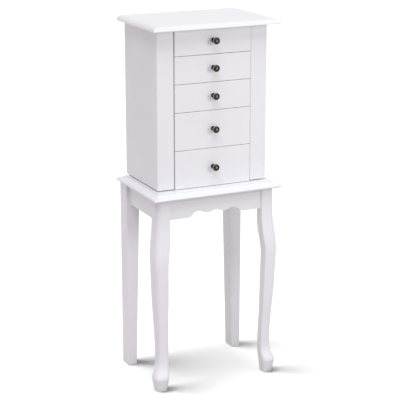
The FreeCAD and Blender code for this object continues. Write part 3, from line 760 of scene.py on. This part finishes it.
class CHEST_OT_ring_rolls(bpy.types.Operator):
    """Model the padded velvet ring rolls and line the tray"""

    bl_idname = "jewelry_chest.ring_rolls"
    bl_label = "Pad Ring Rolls"

    def execute(self, context):
        sizes = settings().sizes
        velvet = velvet_finish()
        dress(["tray_floor", "tray_dividers"], velvet)
        low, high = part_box("ring_rolls")
        roll = self.model_roll(low, high, sizes)
        self.lay_skin(roll, low.z)
        self.swell(roll, low.z, sizes.roll_swell)
        pitch = (high.y - low.y - sizes.roll_width) / (sizes.roll_count - 1)
        places = [Matrix.Translation((0, pitch * index, 0)) for index in range(sizes.roll_count)]
        piece = set_out(roll, "ring_roll_pads", places, "cabinet", velvet)
        bpy.data.objects.remove(roll)
        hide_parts("ring_rolls")
        return {"FINISHED"}

    def model_roll(self, low, high, sizes):
        """The front roll before it swells: a bar with a crowned top, a narrow foot and round ends."""
        slack = sizes.roll_swell
        length = high.x - low.x - 2 * slack
        width = sizes.roll_width - 2 * slack
        height = high.z - low.z - slack
        middle = Vector(((low.x + high.x) / 2, low.y + sizes.roll_width / 2, low.z + height / 2))
        deselect()
        bpy.ops.mesh.primitive_cube_add(size=1, location=middle)
        roll = bpy.context.object
        bpy.ops.transform.resize(value=(length, width, height))
        bpy.ops.object.transform_apply(location=True, rotation=True, scale=True)
        bpy.ops.object.mode_set(mode="EDIT")
        pick_faces(roll, lambda normal: normal.z < -LEVEL)
        bpy.ops.transform.resize(value=ROLL_FOOT_SHARES + (1,), center_override=(middle.x, middle.y, low.z))
        bpy.ops.object.mode_set(mode="OBJECT")
        crown = roll.modifiers.new("crown", "BEVEL")
        crown.width = width * ROLL_CROWN_SHARE
        crown.segments = ROLL_CROWN_STEPS
        crown.limit_method = "ANGLE"
        crown.angle_limit = ROLL_SHARP
        crown.use_clamp_overlap = True
        crown.affect = "EDGES"
        apply_modifier(roll, "crown")
        return roll

    def lay_skin(self, roll, floor):
        """An even skin of small faces, flat where the roll lies on the tray."""
        roll.data.remesh_voxel_size = ROLL_FACE
        activate(roll)
        bpy.ops.object.voxel_remesh()
        for vertex in roll.data.vertices:
            vertex.co.z = max(vertex.co.z, floor)

    def swell(self, roll, floor, limit):
        """Blow the skin up like a stuffed cover, keep it within the limit and smooth it."""
        self.blow_up(roll, floor, limit)
        smooth = roll.modifiers.new("smooth", "SMOOTH")
        smooth.factor = 0.5
        smooth.iterations = 3
        apply_modifier(roll, "smooth")
        activate(roll)
        bpy.ops.object.shade_smooth()

    def blow_up(self, roll, floor, limit):
        """Press the skin outward as cloth that is sewn down along its foot."""
        before = [vertex.co.copy() for vertex in roll.data.vertices]
        sewn = roll.vertex_groups.new(name="sewn")
        sewn.add([index for index, co in enumerate(before) if co.z < floor + SEWN_HEIGHT], 1.0, "REPLACE")
        cloth = roll.modifiers.new("swell", "CLOTH")
        cloth.settings.vertex_group_mass = sewn.name
        cloth.settings.use_pressure = True
        cloth.settings.uniform_pressure_force = SWELL_PRESSURE
        cloth.settings.effector_weights.gravity = 0.0
        for step in range(1, SWELL_FRAMES + 1):
            bpy.context.scene.frame_set(step)
        apply_modifier(roll, "swell")
        bpy.context.scene.frame_set(1)
        for vertex, start in zip(roll.data.vertices, before):
            move = vertex.co - start
            if move.length > limit:
                vertex.co = start + move * (limit / move.length)
            vertex.co.z = max(vertex.co.z, floor)
        roll.vertex_groups.clear()


class CHEST_OT_hinge_screws(bpy.types.Operator):
    """Model the screws of the door hinges and the lid hinges"""

    bl_idname = "jewelry_chest.hinge_screws"
    bl_label = "Screw Hinges"

    def execute(self, context):
        sizes = settings().sizes
        low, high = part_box("right_door_hinge_leaves")
        axis_x = low.x + sizes.hinge_knuckle
        face = low.y + sizes.leaf_thickness
        fixed = []
        low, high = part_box("door_hinge_fixed_leaves")
        heights = self.along(low.z, high.z, sizes)
        for side, sign in SIDES.items():
            moving = []
            for index, z in enumerate(heights):
                turn = HINGE_TURN + HINGE_TURN_STEP * index
                fixed_x = sign * (axis_x - sizes.fixed_screw_offset)
                door_x = sign * (axis_x + sizes.door_screw_offset)
                fixed.append(((fixed_x, face, z), (0, 1, 0), turn))
                moving.append(((door_x, face, z), (0, 1, 0), turn + DOOR_LEAF_TURN))
            screw_set(side + "_door_hinge_screws", sizes.hinge_screw, moving, side + "_door")
        low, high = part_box("lid_hinge_fixed_leaves")
        axis_z = high.z - sizes.hinge_knuckle
        lid = []
        for x in self.along(low.x, high.x, sizes):
            fixed_z = axis_z - sizes.fixed_screw_offset
            lid_z = axis_z + sizes.lid_screw_offset
            fixed.append(((x, face, fixed_z), (0, 1, 0), FIXED_LEAF_TURN_RATE * x))
            lid.append(((x, face, lid_z), (0, 1, 0), LID_LEAF_TURN_RATE * x))
        screw_set("lid_hinge_screws", sizes.hinge_screw, lid, "lid")
        screw_set("fixed_hinge_screws", sizes.hinge_screw, fixed, "cabinet")
        return {"FINISHED"}

    def along(self, low, high, sizes):
        """Places of the screws along two hinges, one at each end of a stretch."""
        places = []
        for start in (low, high - sizes.hinge_length):
            places += [start + sizes.screw_end_inset, start + sizes.hinge_length - sizes.screw_end_inset]
        return places


class CHEST_OT_door_screws(bpy.types.Operator):
    """Model the screws of the strike plates and the necklace hooks"""

    bl_idname = "jewelry_chest.door_screws"
    bl_label = "Screw Door Fittings"

    def execute(self, context):
        sizes = settings().sizes
        for side, sign in SIDES.items():
            self.screw_strike(side, sign, sizes)
            self.screw_hooks(side, sign, sizes)
        return {"FINISHED"}

    def screw_strike(self, side, sign, sizes):
        """Two screws in each strike plate, a third of its height above and below its middle."""
        low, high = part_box(side + "_door_strike")
        x = sign * (max(abs(low.x), abs(high.x)) - sizes.strike_screw * STRIKE_INSET_SHARE)
        middle = (low.z + high.z) / 2
        reach = (high.z - low.z) / 3
        spots = []
        for index, z in enumerate((middle - reach, middle + reach)):
            spots.append(((x, high.y, z), (0, 1, 0), STRIKE_TURN + index))
        screw_set(side + "_door_strike_screws", sizes.strike_screw, spots, side + "_door")

    def screw_hooks(self, side, sign, sizes):
        """One screw under each hook's foot, found from the foot's lower face."""
        low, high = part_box(side + "_door_hooks")
        outer = max(abs(low.x), abs(high.x))
        corners = [vertex.co for vertex in NODES[side + "_door_hooks"].data.vertices]
        at_door = [co for co in corners if abs(abs(co.x) - outer) < FOOT_REACH]
        feet = [co for co in at_door if co.z < high.z - FOOT_DROP]
        foot_z = min(co.z for co in feet)
        edges = sorted({round(co.y, 4) for co in feet})
        x = sign * (outer - sizes.hook_screw * HOOK_INSET_SHARE)
        spots = []
        for index in range(0, len(edges), 2):
            y = (edges[index] + edges[index + 1]) / 2
            spots.append(((x, y, foot_z), (0, 0, -1), HOOK_TURN_STEP * index))
        screw_set(side + "_door_hook_screws", sizes.hook_screw, spots, side + "_door")


class CHEST_OT_knob_screws(bpy.types.Operator):
    """Model the screw that holds each knob from inside its drawer"""

    bl_idname = "jewelry_chest.knob_screws"
    bl_label = "Screw Knobs"

    def execute(self, context):
        sizes = settings().sizes
        for number in DRAWERS:
            low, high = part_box("drawer_%d_knob" % number)
            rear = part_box("drawer_%d_front" % number)[1].y
            spot = ((0, rear, (low.z + high.z) / 2), (0, 1, 0), KNOB_TURN_STEP * number)
            screw_set("drawer_%d_knob_screw" % number, sizes.knob_screw, [spot], "drawer_%d" % number)
        return {"FINISHED"}


class CHEST_OT_bracket_screws(bpy.types.Operator):
    """Model the screws that hold the corner brackets to the aprons"""

    bl_idname = "jewelry_chest.bracket_screws"
    bl_label = "Screw Brackets"

    def execute(self, context):
        sizes = settings().sizes
        low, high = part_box("corner_brackets")
        middle = (low.z + high.z) / 2
        across_rate, along_rate = BRACKET_TURN_RATES
        spots = []
        for sign in SIDES.values():
            for corner, inward in ((low.y, 1), (high.y, -1)):
                across = (sign * (high.x - sizes.bracket_reach), corner + inward * sizes.bracket_plate)
                along = (sign * (high.x - sizes.bracket_plate), corner + inward * sizes.bracket_reach)
                for rise in (-sizes.bracket_screw_rise, sizes.bracket_screw_rise):
                    z = middle + rise
                    spots.append((across + (z,), (0, inward, 0), z * across_rate))
                    spots.append((along + (z,), (-sign, 0, 0), z * along_rate))
        screw_set("bracket_screws", sizes.bracket_screw, spots, "cabinet")
        return {"FINISHED"}


class CHEST_OT_stage(bpy.types.Operator):
    """Set the floor, the light and the camera"""

    bl_idname = "jewelry_chest.stage"
    bl_label = "Set Stage"

    def execute(self, context):
        studio = settings().studio
        floor = self.lay_floor(studio)
        self.light_world(studio)
        self.light_chest(studio)
        self.light_floor(studio, floor)
        self.set_camera(studio)
        context.scene.view_settings.view_transform = "Standard"
        return {"FINISHED"}

    def light_chest(self, studio):
        """A low light behind, a broad main light and a soft panel in front, all on the chest alone."""
        chest = self.gather("chest_lit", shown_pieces())
        rear = self.hang_sun("rear_light", REAR_SUN, studio.rear, chest)
        rear.visible_glossy = False
        key = self.hang_sun("key_light", KEY_SUN, studio.key, chest)
        panel = self.hang_panel("panel_light", studio, chest)
        for lamp in (key, rear, panel):
            lamp.data.color = studio.lamp_tint

    def light_floor(self, studio, floor):
        """Two lights on the floor alone: the legs stop the first, the legs and the base board the second."""
        ground = self.gather("floor_lit", [floor])
        legs = [NODES[name] for name in LEG_NODES]
        slant = self.hang_sun("slant_light", SLANT_SUN, studio.slant, ground)
        slant.light_linking.blocker_collection = self.gather("feet", legs)
        overhead = self.hang_sun("overhead_light", OVERHEAD_SUN, studio.overhead, ground)
        overhead.light_linking.blocker_collection = self.gather("stand", legs + [NODES["base_top"]])

    def gather(self, name, pieces):
        """A set of pieces for a light to fall on or be stopped by."""
        group = bpy.data.collections.new(name)
        for piece in pieces:
            group.objects.link(piece)
        return group

    def seen_directly(self, tree):
        """1 for what the camera sees, straight or in a mirror or glass."""
        path = tree.nodes.new("ShaderNodeLightPath")
        seen = path.outputs["Is Camera Ray"]
        for ray in ("Is Glossy Ray", "Is Transmission Ray"):
            either = tree.nodes.new("ShaderNodeMath")
            either.operation = "MAXIMUM"
            tree.links.new(seen, either.inputs[0])
            tree.links.new(path.outputs[ray], either.inputs[1])
            seen = either.outputs[0]
        return seen

    def lay_floor(self, studio):
        """A plain pale floor that shows white where no shadow falls and throws little light back up."""
        deselect()
        bpy.ops.mesh.primitive_plane_add(size=FLOOR_SIZE, location=(0, 0, 0))
        floor = bpy.context.object
        floor.name = "studio_floor"
        finish = Finish("pale_floor")
        finish.set(Roughness=FLOOR_ROUGHNESS, Specular_IOR_Level=0.0)
        seen = self.seen_directly(finish.material.node_tree)
        finish.colour(finish.mix(seen, studio.floor_bounce, studio.floor))
        floor.data.materials.append(finish.material)
        floor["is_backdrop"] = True
        return floor

    def light_world(self, studio):
        """Even light from all round, in front of a white background."""
        world = bpy.data.worlds.new("studio_world")
        bpy.context.scene.world = world
        world.use_nodes = True
        tree = world.node_tree
        ambient = tree.nodes["Background"]
        ambient.inputs["Color"].default_value = rgba(studio.ambient_tint)
        ambient.inputs["Strength"].default_value = studio.ambient
        backdrop = tree.nodes.new("ShaderNodeBackground")
        backdrop.inputs["Color"].default_value = (1, 1, 1, 1)
        mix = tree.nodes.new("ShaderNodeMixShader")
        tree.links.new(self.seen_directly(tree), mix.inputs[0])
        tree.links.new(ambient.outputs[0], mix.inputs[1])
        tree.links.new(backdrop.outputs[0], mix.inputs[2])
        tree.links.new(mix.outputs[0], tree.nodes["World Output"].inputs["Surface"])

    def hang_sun(self, name, sun, strength, receivers):
        """A soft light from a direction, on some pieces alone."""
        deselect()
        bpy.ops.object.light_add(type="SUN", location=SUN_PLACE)
        lamp = bpy.context.object
        lamp.name = name
        turn, rise, spread = (math.radians(angle) for angle in sun)
        level = math.cos(rise)
        source = Vector((math.sin(turn) * level, -math.cos(turn) * level, math.sin(rise)))
        lamp.rotation_euler = source.to_track_quat("Z", "Y").to_euler()
        lamp.data.energy = strength
        lamp.data.angle = spread
        lamp.light_linking.receiver_collection = receivers
        return lamp

    def hang_panel(self, name, studio, receivers):
        """A soft square panel that faces the middle of the drawers."""
        deselect()
        low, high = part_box("drawer_3_front")
        place = Vector(studio.panel_place)
        turn = (place - (low + high) / 2).to_track_quat("Z", "Y").to_euler()
        bpy.ops.object.light_add(type="AREA", location=place, rotation=turn)
        lamp = bpy.context.object
        lamp.name = name
        lamp.data.size = studio.panel_size
        lamp.data.energy = studio.panel
        lamp.visible_camera = False
        lamp.light_linking.receiver_collection = receivers
        return lamp

    def set_camera(self, studio):
        """The camera, at the photograph's viewing angle."""
        deselect()
        place, aim = Vector(studio.camera_place), Vector(studio.camera_aim)
        turn = (place - aim).to_track_quat("Z", "Y").to_euler()
        bpy.ops.object.camera_add(location=place, rotation=turn)
        camera = bpy.context.object
        camera.name = "studio_camera"
        camera.data.lens = studio.lens
        camera.data.sensor_width = SENSOR_WIDTH
        camera.data.clip_end = FARTHEST
        bpy.context.scene.camera = camera


class VIEW3D_PT_jewelry_chest(bpy.types.Panel):
    """Steps that dress the chest, in order"""

    bl_label = "Jewelry Chest"
    bl_idname = "VIEW3D_PT_jewelry_chest"
    bl_space_type = "VIEW_3D"
    bl_region_type = "UI"
    bl_category = "Jewelry Chest"

    def draw(self, context):
        for step in STEPS:
            self.layout.operator(step.bl_idname)
        for group in (settings().finishes, settings().sizes, settings().studio):
            box = self.layout.box()
            for name in group.__annotations__:
                box.prop(group, name)


STEPS = (
    CHEST_OT_lacquer,
    CHEST_OT_drawer_wood,
    CHEST_OT_fittings,
    CHEST_OT_ring_rolls,
    CHEST_OT_hinge_screws,
    CHEST_OT_door_screws,
    CHEST_OT_knob_screws,
    CHEST_OT_bracket_screws,
    CHEST_OT_stage,
)
GROUPS = (ChestFinishes, ChestSizes, ChestStudio, ChestSettings)


def register():
    """Make the settings, the steps and the panel known."""
    for cls in GROUPS + STEPS + (VIEW3D_PT_jewelry_chest,):
        bpy.utils.register_class(cls)
    bpy.types.Scene.jewelry_chest = PointerProperty(type=ChestSettings)


def unregister():
    """Take the settings, the steps and the panel away again."""
    del bpy.types.Scene.jewelry_chest
    for cls in reversed(GROUPS + STEPS + (VIEW3D_PT_jewelry_chest,)):
        bpy.utils.unregister_class(cls)


def main():
    """Dress the chest, step by step."""
    register()
    for step in STEPS:
        group, name = step.bl_idname.split(".")
        getattr(getattr(bpy.ops, group), name)()


if __name__ == "__main__":
    main()
